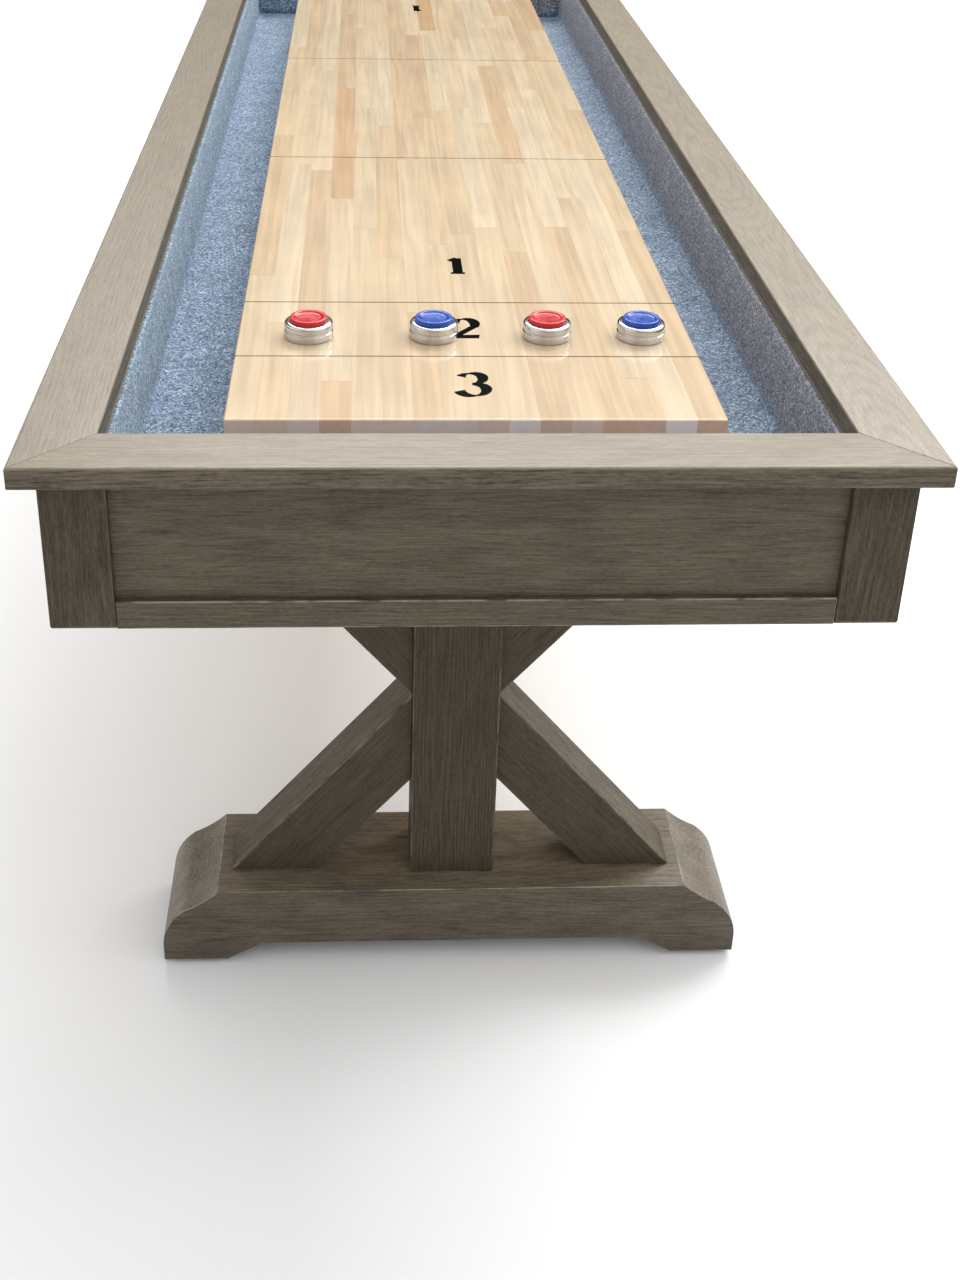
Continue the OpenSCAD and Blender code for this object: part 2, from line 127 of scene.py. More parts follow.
eye = Vector((-0.1156, -2.6859, 1.5532))
yaw, pitch, roll = 0.05833, 0.46391, 0.02514
ahead = Vector((math.sin(yaw) * math.cos(pitch), math.cos(yaw) * math.cos(pitch), -math.sin(pitch)))
level = Vector((math.cos(yaw), -math.sin(yaw), 0))
right = level * math.cos(roll) + level.cross(ahead) * math.sin(roll)
above = right.cross(ahead)
lens = bpy.data.cameras.new("camera")
lens.lens = 45.268
lens.sensor_width = 36.0
lens.shift_x = 0.0262
lens.shift_y = -0.1484
camera = bpy.data.objects.new("camera", lens)
bpy.context.scene.collection.objects.link(camera)
camera.matrix_world = Matrix.Translation(eye) @ Matrix((right, above, -ahead)).transposed().to_4x4()
bpy.context.scene.camera = camera

# ---------------------------------------------------------------- top rails
# Four flat-sawn oak boards mitred round the cabinet and splined at the corners, wire-brushed and
# stained grey-brown. Their tops are painted pale and their sides dark, as painted sheen and
# painted shade, and their arrises barely eased.


def loose_parts(mesh):
    """The number of the joined-up part that each vertex is in: every edge gives the lower number
    of its two ends to both, until nothing changes."""
    ends = np.empty(2 * len(mesh.edges), np.int64)
    mesh.edges.foreach_get("vertices", ends)
    ends = ends.reshape(-1, 2)
    part = np.arange(len(mesh.vertices))
    while True:
        lower = part.copy()
        np.minimum.at(lower, ends[:, 0], part[ends[:, 1]])
        np.minimum.at(lower, ends[:, 1], part[ends[:, 0]])
        if (lower == part).all():
            return np.unique(part, return_inverse=True)[1]
        part = lower


def grain_frame(points, lean):
    """Three axes of a board: along the grain, across it and through its thickness. They follow the
    longest, middle and shortest sides of its box, or lean by an angle towards the post."""
    size = np.ptp(points, axis=0)
    order = np.argsort(-size)
    axes = np.eye(3)[order]
    if lean:
        side = -np.sign(points[:, 0].mean()) * np.sign(lean)
        axes[0] = (side * math.cos(abs(lean)), 0, math.sin(abs(lean)))
        axes[1] = (-side * math.sin(abs(lean)), 0, math.cos(abs(lean)))
        axes[2] = (0, 1, 0)
    return axes


def eased_boards(node, finish, ease=0.0012, lean=0.0):
    """A node's boards as worked timber. Doubles are merged and every arris between faces more
    than 25 degrees apart is rounded over by `ease`. The point attribute "grain" holds each
    vertex's place in its own board, along, across and through, with its own start along the log,
    and the corner attribute "arris" is 1 on the rounded arrises."""
    mesh = bpy.data.meshes.new(node + "_oak")
    work = bmesh.new()
    work.from_mesh(nodes[node].data)
    bmesh.ops.remove_doubles(work, verts=work.verts, dist=2e-5)
    bmesh.ops.dissolve_limit(
        work, angle_limit=math.radians(0.4), verts=work.verts, edges=work.edges)
    sharp = math.radians(25)
    arrises = [e for e in work.edges if e.is_manifold and e.calc_face_angle() > sharp]
    made = bmesh.ops.bevel(
        work, geom=arrises, offset=ease, offset_type="OFFSET", segments=2, profile=0.5,
        affect="EDGES", clamp_overlap=True)
    worn_and_highlit = work.loops.layers.float.new("arris")
    for face in work.faces:
        face.smooth = True
    for face in made["faces"]:
        for corner in face.loops:
            corner[worn_and_highlit] = 1.0
    bmesh.ops.triangulate(work, faces=work.faces)
    work.to_mesh(mesh)
    work.free()
    count = len(mesh.vertices)
    points = np.empty(3 * count, np.float32)
    mesh.vertices.foreach_get("co", points)
    points = points.reshape(-1, 3).astype(float)
    part = loose_parts(mesh)
    draw = np.random.default_rng(sum(node.encode()))
    grain = np.zeros((count, 3))
    for k in range(part.max() + 1):
        own = part == k
        middle = (points[own].max(0) + points[own].min(0)) / 2
        grain[own] = (points[own] - middle) @ grain_frame(points[own], lean).T
        grain[own] += (draw.uniform(1, 40), draw.uniform(-0.07, 0.07), draw.uniform(0, 0.02))
    attribute = mesh.attributes.new("grain", "FLOAT_VECTOR", "POINT")
    attribute.data.foreach_set("vector", grain.astype(np.float32).ravel())
    mesh.materials.append(finish)
    boards = bpy.data.objects.new(node + "_oak", mesh)
    bpy.context.scene.collection.objects.link(boards)
    evened = boards.modifiers.new("even normals", "WEIGHTED_NORMAL")
    evened.weight = 80
    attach(boards, "table")
    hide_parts(node)
    return boards


def weathered_oak():
    """Node group: growth rings are shells about a leaning log, cut by the board's face into
    cathedral arches, with pores along the early wood, and fibres, short flecks, streaks and
    blotches over them. Arrises take their own lighter colour: scuffed edges, and partly a painted
    highlight."""
    group = bpy.data.node_groups.new("weathered oak", "ShaderNodeTree")
    for name, kind, value in (
            ("Dark", "NodeSocketColor", (0.1, 0.08, 0.06, 1)),
            ("Light", "NodeSocketColor", (0.3, 0.25, 0.2, 1)),
            ("Worn and highlit", "NodeSocketColor", (0.4, 0.36, 0.3, 1)),
            ("Rings", "NodeSocketFloat", 0.4),
            ("Streaks", "NodeSocketFloat", 0.4),
            ("Blotches", "NodeSocketFloat", 0.3),
            ("Pores", "NodeSocketFloat", 0.5),
            ("Wear and highlight", "NodeSocketFloat", 0.6)):
        socket = group.interface.new_socket(name=name, in_out="INPUT", socket_type=kind)
        socket.default_value = value
    for name, kind in (("Color", "NodeSocketColor"), ("Roughness", "NodeSocketFloat"),
                       ("Height", "NodeSocketFloat")):
        group.interface.new_socket(name=name, in_out="OUTPUT", socket_type=kind)
    given = group.nodes.new("NodeGroupInput").outputs
    result = group.nodes.new("NodeGroupOutput")

    def vector(operation, a, b):
        return put(group, "VectorMath", {0: a, 1: b}, operation=operation).outputs[0]

    def number(operation, a, b=0.0, c=0.0):
        return put(group, "Math", {0: a, 1: b, 2: c}, operation=operation).outputs[0]

    def noise(at, size, detail, rough=0.5):
        scaled = vector("MULTIPLY", at, size)
        return put(group, "TexNoise", {
            "Vector": scaled, "Scale": 1.0, "Detail": detail, "Roughness": rough})

    def ramp(value, low, high, to_low=0.0, to_high=1.0):
        return put(group, "MapRange", {0: value, 1: low, 2: high, 3: to_low, 4: to_high},
                   interpolation_type="SMOOTHSTEP").outputs[0]

    grain = put(group, "Attribute", attribute_name="grain").outputs["Vector"]
    arris = put(group, "Attribute", attribute_name="arris").outputs["Fac"]
    waver = vector("SUBTRACT", noise(grain, (2.8, 12, 12), 2.0).outputs["Color"], (0.5, 0.5, 0.5))
    bent = vector("ADD", grain, vector("MULTIPLY", waver, (0, 0.012, 0.012)))
    spread = put(group, "SeparateXYZ", {0: bent}).outputs
    along = put(group, "SeparateXYZ", {0: grain}).outputs[0]
    lean = put(group, "TexNoise", {"W": along, "Scale": 0.8, "Detail": 1.0},
               noise_dimensions="1D").outputs[0]
    depth = number("ADD", spread[2], ramp(lean, 0.25, 0.75, 0.015, 0.07))
    log = put(group, "CombineXYZ", {0: 0.0, 1: spread[1], 2: depth}).outputs[0]
    radius = put(group, "VectorMath", {0: log}, operation="LENGTH").outputs["Value"]
    rings_per_metre = 235.0
    ring = number("FRACT", number("MULTIPLY", radius, rings_per_metre))
    late = number("MULTIPLY", ramp(ring, 0.0, 0.3), ramp(ring, 1.0, 0.6))
    fibre = noise(bent, (22, 620, 620), 2.0, 0.7).outputs[0]
    streak = noise(bent, (8, 240, 240), 3.0, 0.65).outputs[0]
    blotch = noise(grain, (10, 34, 34), 4.0, 0.6).outputs[0]
    pore = ramp(noise(bent, (36, 900, 900), 1.0).outputs[0], 0.55, 0.66)
    pore = number("MULTIPLY", pore, number("SUBTRACT", 1.15, late))
    tone = number("MULTIPLY_ADD", number("SUBTRACT", late, 0.5), given["Rings"], 0.5)
    tone = number("MULTIPLY_ADD", number("SUBTRACT", fibre, 0.5), 1.6, tone)
    fleck = noise(grain, (150, 480, 480), 2.0, 0.6).outputs[0]
    tone = number("MULTIPLY_ADD", number("SUBTRACT", fleck, 0.5), 1.1, tone)
    tone = number("MULTIPLY_ADD", number("MULTIPLY", number("SUBTRACT", streak, 0.5), 3.0),
                  given["Streaks"], tone)
    tone = number("MULTIPLY_ADD", number("MULTIPLY", number("SUBTRACT", blotch, 0.5), 3.0),
                  given["Blotches"], tone)
    tone = number("SUBTRACT", tone, number("MULTIPLY", pore, given["Pores"]))
    stained = put(group, "Mix", {0: tone, 6: given["Dark"], 7: given["Light"]},
                  data_type="RGBA").outputs[2]
    patchy = ramp(noise(grain, (30, 30, 30), 3.0).outputs[0], 0.35, 0.6)
    # Arrises lightened: scuffed edges, and partly a painted highlight.
    wear_and_painted_light = number("MULTIPLY", number("MULTIPLY", arris, patchy), given["Wear and highlight"])
    wear_and_painted_light = number("MULTIPLY", wear_and_painted_light, ramp(fibre, 0.3, 0.55, 0.55, 1.0))
    colour = put(group, "Mix", {0: wear_and_painted_light, 6: stained, 7: given["Worn and highlit"]}, data_type="RGBA")
    group.links.new(colour.outputs[2], result.inputs["Color"])
    group.links.new(ramp(tone, 0.0, 1.0, 0.56, 0.42), result.inputs["Roughness"])
    group.links.new(number("ADD", tone, number("MULTIPLY", pore, -0.6)), result.inputs["Height"])
    return group


oak_group = weathered_oak()


def oak_finish(name, tone, rings, streaks, blotches, pores, wear_and_highlight, gloss=0.3, coat=0.0, side=1.0,
               even=(0.0, 0.0)):
    """A satin stained oak made from the weathered oak group. `tone` darkens or lightens the stain
    and `coat` is a film of clear finish. `even` closes the gap between the dark and the light,
    first on faces that look up and then on the others, which take only the share `side` of the
    colour and its cube of the film. Both are painted light: tops made paler by `even` are painted
    sheen, and sides darkened by `side` are painted shade."""
    dark, light, worn_and_highlit = (0.054, 0.043, 0.026), (0.197, 0.16, 0.111), (0.39, 0.34, 0.27)
    above_dark, below_dark = ([a + k * (b - a) for a, b in zip(dark, light)] for k in even)
    material, tree, shader = new_material(name)
    shader.inputs["Specular IOR Level"].default_value = gloss
    shader.inputs["Coat Roughness"].default_value = 0.34
    wood = tree.nodes.new("ShaderNodeGroup")
    wood.node_tree = oak_group
    up = put(tree, "SeparateXYZ", {0: put(tree, "NewGeometry").outputs["True Normal"]}).outputs[2]
    # Painted light: faces that look up take the paler colour as painted sheen, and the others only
    # the share side of it, as painted shade.
    upward = put(tree, "MapRange", {0: up, 1: 0.05, 2: 0.5}).outputs[0]
    for socket, below, above in (("Dark", below_dark, above_dark), ("Light", light, light),
                                 ("Worn and highlit", worn_and_highlit, worn_and_highlit)):
        shade = put(tree, "Mix", {
            0: upward, 6: (*(side * tone * v for v in below), 1),
            7: (*(tone * v for v in above), 1)}, data_type="RGBA")
        tree.links.new(shade.outputs[2], wood.inputs[socket])
    for socket, value in (("Rings", rings), ("Streaks", streaks), ("Blotches", blotches),
                          ("Pores", pores), ("Wear and highlight", wear_and_highlight)):
        wood.inputs[socket].default_value = value
    relief = put(tree, "Bump", {
        "Strength": 0.5, "Distance": 0.0004, "Height": wood.outputs["Height"]})
    if coat:
        lustre = put(tree, "MapRange", {0: upward, 3: coat * side ** 3, 4: coat})
        tree.links.new(lustre.outputs[0], shader.inputs["Coat Weight"])
    tree.links.new(wood.outputs["Color"], shader.inputs["Base Color"])
    tree.links.new(wood.outputs["Roughness"], shader.inputs["Roughness"])
    tree.links.new(relief.outputs[0], shader.inputs["Normal"])
    return material


# The right rail's higher tone than the left's is painted sheen, and each rail's side setting
# darkens its lip as painted shade.
left_finish = oak_finish(
    "left rail oak", tone=1.3, rings=0.14, streaks=0.2, blotches=0.25, pores=0.5, wear_and_highlight=0.0,
    gloss=0.22, coat=0.75, side=0.7, even=(0.45, 0.0))
right_finish = oak_finish(
    "right rail oak", tone=1.46, rings=0.14, streaks=0.2, blotches=0.25, pores=0.5, wear_and_highlight=0.0,
    gloss=0.22, coat=0.8, side=0.62, even=(0.45, 0.0))
end_finish = oak_finish(
    "end rail oak", tone=1.32, rings=0.1, streaks=0.38, blotches=0.25, pores=0.4, wear_and_highlight=0.0,
    gloss=0.22, coat=0.55, side=0.59, even=(0.45, 0.0))
for node, finish in (("rail_left", left_finish), ("rail_right", right_finish),
                     ("rail_near", end_finish), ("rail_far", end_finish)):
    eased_boards(node, finish, ease=0.0011)

# ---------------------------------------------------------------- aprons
# Stiles, bottom rails and plain panels of the same oak, glued to the cabinet walls. The stiles
# stand proud and the panels are set back; the stain is darker here than on the rail tops, which
# are painted pale as painted sheen.

panel_finish = oak_finish(
    "panel oak", tone=0.69, rings=0.08, streaks=0.17, blotches=0.42, pores=0.3, wear_and_highlight=0.6,
    gloss=0.18, even=(0.0, 0.22))
# The bottom rails' strong arris colour is partly a painted highlight along their top edge.
lower_finish = oak_finish(
    "bottom rail oak", tone=0.69, rings=0.08, streaks=0.2, blotches=0.25, pores=0.4, wear_and_highlight=1.3,
    gloss=0.18, even=(0.0, 0.2))
stile_finish = oak_finish(
    "stile oak", tone=0.53, rings=-0.25, streaks=0.12, blotches=0.2, pores=0.3, wear_and_highlight=0.25,
    gloss=0.1, even=(0.0, 0.15))
for node in ("end_stiles", "side_stiles"):
    eased_boards(node, stile_finish)
for node in ("end_bottom_rails", "side_bottom_rails"):
    eased_boards(node, lower_finish, ease=0.0014)
for node in ("end_panels", "side_panels"):
    eased_boards(node, panel_finish, ease=0.0008)

# ---------------------------------------------------------------- cabinet
# Plywood walls, floor, bearers, splines and board supports. The walls are stained like the oak,
# for a strip of them shows above the carpet; the rest is clear-sealed birch.


def dress(node, material):
    """Gives a carried-over node its material."""
    mesh = nodes[node].data
    mesh.materials.clear()
    mesh.materials.append(material)


ply = 0.0015


def plywood(name, veneer, darker, edge):
    """Rotary-cut birch veneer on the faces, seen as broad wavy figure, and layers at the edges,
    where every second ply is end grain: light and dark go as sin(pi * height / ply)."""
    material, tree, shader = new_material(name)
    place = put(tree, "TexCoord").outputs["Object"]
    scaled = put(tree, "Mapping", {"Vector": place, "Scale": (9, 1.6, 9)}).outputs[0]
    figure = put(tree, "TexNoise", {
        "Vector": scaled, "Scale": 2.0, "Detail": 5.0, "Distortion": 1.4}).outputs[0]
    fine = put(tree, "Mapping", {"Vector": place, "Scale": (420, 14, 420)}).outputs[0]
    fibre = put(tree, "TexNoise", {"Vector": fine, "Scale": 1.0, "Detail": 2.0}).outputs[0]
    both = put(tree, "Math", {0: fibre, 1: 0.5, 2: figure}, operation="MULTIPLY_ADD").outputs[0]
    fac = put(tree, "MapRange", {0: both, 1: 0.55, 2: 0.95}).outputs[0]
    face = put(tree, "Mix", {0: fac, 6: (*darker, 1), 7: (*veneer, 1)}, data_type="RGBA")
    height = put(tree, "SeparateXYZ", {0: place}).outputs[2]
    layer = put(tree, "Math", {0: height, 1: math.pi / ply}, operation="MULTIPLY")
    layer = put(tree, "Math", {0: layer.outputs[0]}, operation="SINE").outputs[0]
    layer = put(tree, "MapRange", {0: layer, 1: -0.3, 2: 0.3}).outputs[0]
    plies = put(tree, "Mix", {0: layer, 6: (*edge, 1), 7: (*veneer, 1)}, data_type="RGBA")
    up = put(tree, "SeparateXYZ", {0: put(tree, "NewGeometry").outputs["True Normal"]}).outputs[2]
    up = put(tree, "Math", {0: up}, operation="ABSOLUTE").outputs[0]
    flat = put(tree, "Math", {0: up, 1: 0.5}, operation="GREATER_THAN").outputs[0]
    colour = put(tree, "Mix", {0: flat, 6: plies.outputs[2], 7: face.outputs[2]},
                 data_type="RGBA")
    tree.links.new(colour.outputs[2], shader.inputs["Base Color"])
    rough = put(tree, "MapRange", {0: figure, 1: 0.3, 2: 0.7, 3: 0.5, 4: 0.62})
    tree.links.new(rough.outputs[0], shader.inputs["Roughness"])
    relief = put(tree, "Bump", {"Strength": 0.3, "Distance": 0.0003, "Height": fibre})
    tree.links.new(relief.outputs[0], shader.inputs["Normal"])
    return material


birch = plywood("birch plywood", (0.66, 0.5, 0.33), (0.5, 0.35, 0.2), (0.3, 0.19, 0.1))
stained_ply = plywood("stained plywood", (0.3, 0.25, 0.185), (0.2, 0.165, 0.12),
                      (0.15, 0.12, 0.085))
for node in ("cabinet_floor", "cross_bearers", "playfield_supports", "mitre_keys"):
    dress(node, birch)
for node in ("wall_left", "wall_right", "wall_near", "wall_far"):
    dress(node, stained_ply)

# ---------------------------------------------------------------- gutter carpet
# Needle-punched carpet of mixed blue, white and charcoal fibres, glued to the cabinet floor and
# coved up the walls to just below the rails. The side strips run the full length and end under
# the board, `inner_edge` from its middle; the end strips fit between them.

carpet_thick = 0.004
cove = 0.009
pile_step = 0.0045
inner_half = Vector((0.367, 1.297))
inner_edge = 0.224
carpet_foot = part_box("carpet_left")[0].z
carpet_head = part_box("carpet_left")[1].z
pile_draw = np.random.default_rng(11)


def coved_profile(run, back):
    """A path that runs flat towards the wall, turns up round a quarter circle and climbs: points
    (distance from the wall, height), offset outwards by `back`, spaced by length."""
    flat = run - cove - carpet_thick
    bend = cove + back
    rise = carpet_head - carpet_foot - carpet_thick - cove
    steps = [max(2, round(length / pile_step)) for length in (flat, cove * 1.57, rise)]
    s = np.linspace(0, 1, steps[0] + 1)[:-1]
    turn = np.linspace(0, math.pi / 2, steps[1] + 1)[:-1]
    t = np.linspace(0, 1, steps[2] + 1)
    corner = cove + carpet_thick
    away = np.concatenate([run - s * flat, corner - bend * np.sin(turn), 0 * t + corner - bend])
    high = np.concatenate([0 * s + corner - bend, corner - bend * np.cos(turn), corner + rise * t])
    return np.stack([away, high], 1)


def closed_mat(upper, lower):
    """Vertices and faces of a mat between two grids of the same shape: the upper grid's faces, the
    lower grid's turned over, and a strip round the rim joining the two."""
    rows, cols = upper.shape[:2]
    index = np.arange(rows * cols).reshape(rows, cols)
    cell = np.stack([index[:-1, :-1], index[1:, :-1], index[1:, 1:], index[:-1, 1:]], -1)
    cell = cell.reshape(-1, 4)
    rim = np.concatenate([index[0, :-1], index[:-1, -1], index[-1, :0:-1], index[:0:-1, 0]])
    nxt = np.roll(rim, -1)
    below = rows * cols
    strip = np.stack([rim, nxt, nxt + below, rim + below], 1)
    points = np.concatenate([upper.reshape(-1, 3), lower.reshape(-1, 3)])
    return points, np.concatenate([cell, cell[:, ::-1] + below, strip])


def outward_mesh(name, mats):
    """One mesh from closed mats, each (vertices, faces), with its faces turned outwards."""
    points = [mat[0] for mat in mats]
    starts = np.cumsum([0] + [len(own) for own in points])
    faces = [mat[1] + start for mat, start in zip(mats, starts)]
    mesh = bpy.data.meshes.new(name)
    mesh.from_pydata(np.concatenate(points).tolist(), [], np.concatenate(faces).tolist())
    work = bmesh.new()
    work.from_mesh(mesh)
    bmesh.ops.recalc_face_normals(work, faces=work.faces)
    work.to_mesh(mesh)
    work.free()
    return mesh


def mat_grid(profile, start, end):
    """The profile carried along a straight line: a grid of (along, distance from wall, height)."""
    count = max(2, round((end - start) / pile_step))
    along = np.linspace(start, end, count + 1)
    grid = np.empty((len(profile), len(along), 3))
    grid[..., 0] = along
    grid[..., 1] = profile[:, :1]
    grid[..., 2] = profile[:, 1:]
    return grid


pile_rise = 0.0003


def tufted(grid):
    """Moves each inner point of a grid by up to `pile_rise` each way, as uneven pile does."""
    shaken = grid.copy()
    shaken[1:-1, 1:-1] += pile_draw.uniform(-pile_rise, pile_rise, shaken[1:-1, 1:-1].shape)
    return shaken


def colour_steps(tree, value, tints, interpolation="LINEAR"):
    """A value turned into a colour by (place, colour) pairs in rising order."""
    node = put(tree, "ValToRGB", {0: value})
    stops = node.color_ramp
    stops.interpolation = interpolation
    for k, (at, tint) in enumerate(tints):
        stop = stops.elements[k] if k < 2 else stops.elements.new(at)
        stop.position = at
        stop.color = (*tint, 1)
    return node.outputs[0]


def heathered():
    """Carpet finish: every fleck, a couple of millimetres across, takes its own colour. The pile
    that climbs a wall is painted a little darker than on the floor, as painted shade, and browner
    on the right wall."""
    material, tree, shader = new_material("heathered carpet")
    place = put(tree, "TexCoord").outputs["Object"]
    fleck = put(tree, "TexVoronoi", {"Vector": place, "Scale": 480.0, "Randomness": 1.0})
    pick = put(tree, "SeparateColor", {0: fleck.outputs["Color"]}).outputs[0]
    tints = ((0.0, (0.05, 0.07, 0.1)), (0.16, (0.12, 0.17, 0.24)), (0.38, (0.17, 0.25, 0.36)),
             (0.66, (0.28, 0.36, 0.47)), (0.84, (0.44, 0.5, 0.56)), (0.95, (0.58, 0.63, 0.67)))
    flecks = colour_steps(tree, pick, tints, "CONSTANT")
    broad = put(tree, "TexNoise", {"Vector": place, "Scale": 22.0, "Detail": 5.0})
    shade = put(tree, "MapRange", {0: broad.outputs[0], 1: 0.3, 2: 0.7, 3: 1.26, 4: 1.68})
    where = put(tree, "SeparateXYZ", {0: place}).outputs
    # Painted shade: the pile on the walls is tinted darker than on the floor, browner on the right
    # wall.
    upright = put(tree, "MapRange", {0: where[2], 1: carpet_foot + 0.012, 2: carpet_foot + 0.03})
    right = put(tree, "MapRange", {0: where[0], 1: -0.1, 2: 0.1})
    wear_and_painted_light = put(tree, "Mix", {0: right.outputs[0], 6: (0.88, 0.9, 0.86, 1),
                               7: (1.05, 0.81, 0.7, 1)}, data_type="RGBA")
    painted_wall_shade = put(tree, "Mix", {0: upright.outputs[0], 6: (1, 1, 1, 1), 7: wear_and_painted_light.outputs[2]},
                data_type="RGBA")
    colour = put(tree, "Mix", {0: 1.0, 6: flecks, 7: shade.outputs[0]},
                 data_type="RGBA", blend_type="MULTIPLY")
    colour = put(tree, "Mix", {0: 1.0, 6: colour.outputs[2], 7: painted_wall_shade.outputs[2]},
                 data_type="RGBA", blend_type="MULTIPLY")
    tree.links.new(colour.outputs[2], shader.inputs["Base Color"])
    fuzz = put(tree, "TexNoise", {"Vector": place, "Scale": 900.0, "Detail": 3.0})
    lift = put(tree, "Math", {0: fleck.outputs["Distance"], 1: -1.2, 2: fuzz.outputs[0]},
               operation="MULTIPLY_ADD")
    relief = put(tree, "Bump", {
        "Strength": 0.9, "Distance": 0.0015, "Height": lift.outputs[0]})
    tree.links.new(relief.outputs[0], shader.inputs["Normal"])
    rough = put(tree, "MapRange", {0: fuzz.outputs[0], 3: 0.9, 4: 1.0})
    tree.links.new(rough.outputs[0], shader.inputs["Roughness"])
    shader.inputs["Specular IOR Level"].default_value = 0.2
    shader.inputs["Sheen Weight"].default_value = 0.35
    shader.inputs["Sheen Roughness"].default_value = 0.5
    shader.inputs["Sheen Tint"].default_value = (0.75, 0.85, 1.0, 1)
    return material


carpet_finish = heathered()


def carpet(node, mats, out):
    """One carpet from its mats. Each mat is (profile run, start, end, first row); the row leaves
    out what lies below it, and the mat then stands a hair above the side carpet. `out` turns
    (along, from the wall, up) into the table's axes."""
    made = []
    for run, start, end, first in mats:
        upper = mat_grid(coved_profile(run, 0.0)[first:], start, end)
        lower = mat_grid(coved_profile(run, carpet_thick)[first:], start, end)
        if first:
            upper[0, :, 2] = lower[0, :, 2] = carpet_thick + 0.0002
        mat_points, mat_faces = closed_mat(tufted(upper), lower)
        made.append((out(mat_points), mat_faces))
    mesh = outward_mesh(node + "_pile", made)
    mesh.shade_smooth()
    mesh.materials.append(carpet_finish)
    piece = bpy.data.objects.new(node + "_pile", mesh)
    bpy.context.scene.collection.objects.link(piece)
    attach(piece, "table")
    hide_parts(node)


def against_wall(side, axis):
    """Turns (along, from the wall, up) into table axes for the wall on that side of that axis."""
    def in_place(p):
        placed = np.empty_like(p)
        placed[:, axis] = side * (inner_half[axis] - p[:, 1])
        placed[:, 1 - axis] = p[:, 0]
        placed[:, 2] = carpet_foot + p[:, 2]
        return placed
    return in_place


side_run = inner_half.x - inner_edge
end_run = 0.091
bend_loss = 0.006
climb = carpet_head - carpet_foot - carpet_thick
wall_row = len(coved_profile(end_run, 0.0)) - max(2, round((climb - cove) / pile_step)) - 1
for node, side in (("carpet_left", -1), ("carpet_right", 1)):
    carpet(node, [(side_run, -inner_half.y, inner_half.y, 0)], against_wall(side, 0))
end_flat = (2 * (inner_half.x - carpet_thick), round(end_run + climb - bend_loss, 3))
for node, side in (("carpet_near", -1), ("carpet_far", 1)):
    carpet(node, [(end_run, -inner_edge, inner_edge, 0),
                  (end_run, -end_flat[0] / 2, -inner_edge, wall_row),
                  (end_run, inner_edge, end_flat[0] / 2, wall_row)],
           against_wall(side, 1))

# ---------------------------------------------------------------- playing board
# Hard maple strips glued side by side and butted end to end, 76 mm thick, eased along its edges
# and flooded with clear polymer. The lines and numerals are under the lacquer.

strip = 0.03175
strip_piece = 0.62
lacquer_blur = 0.1


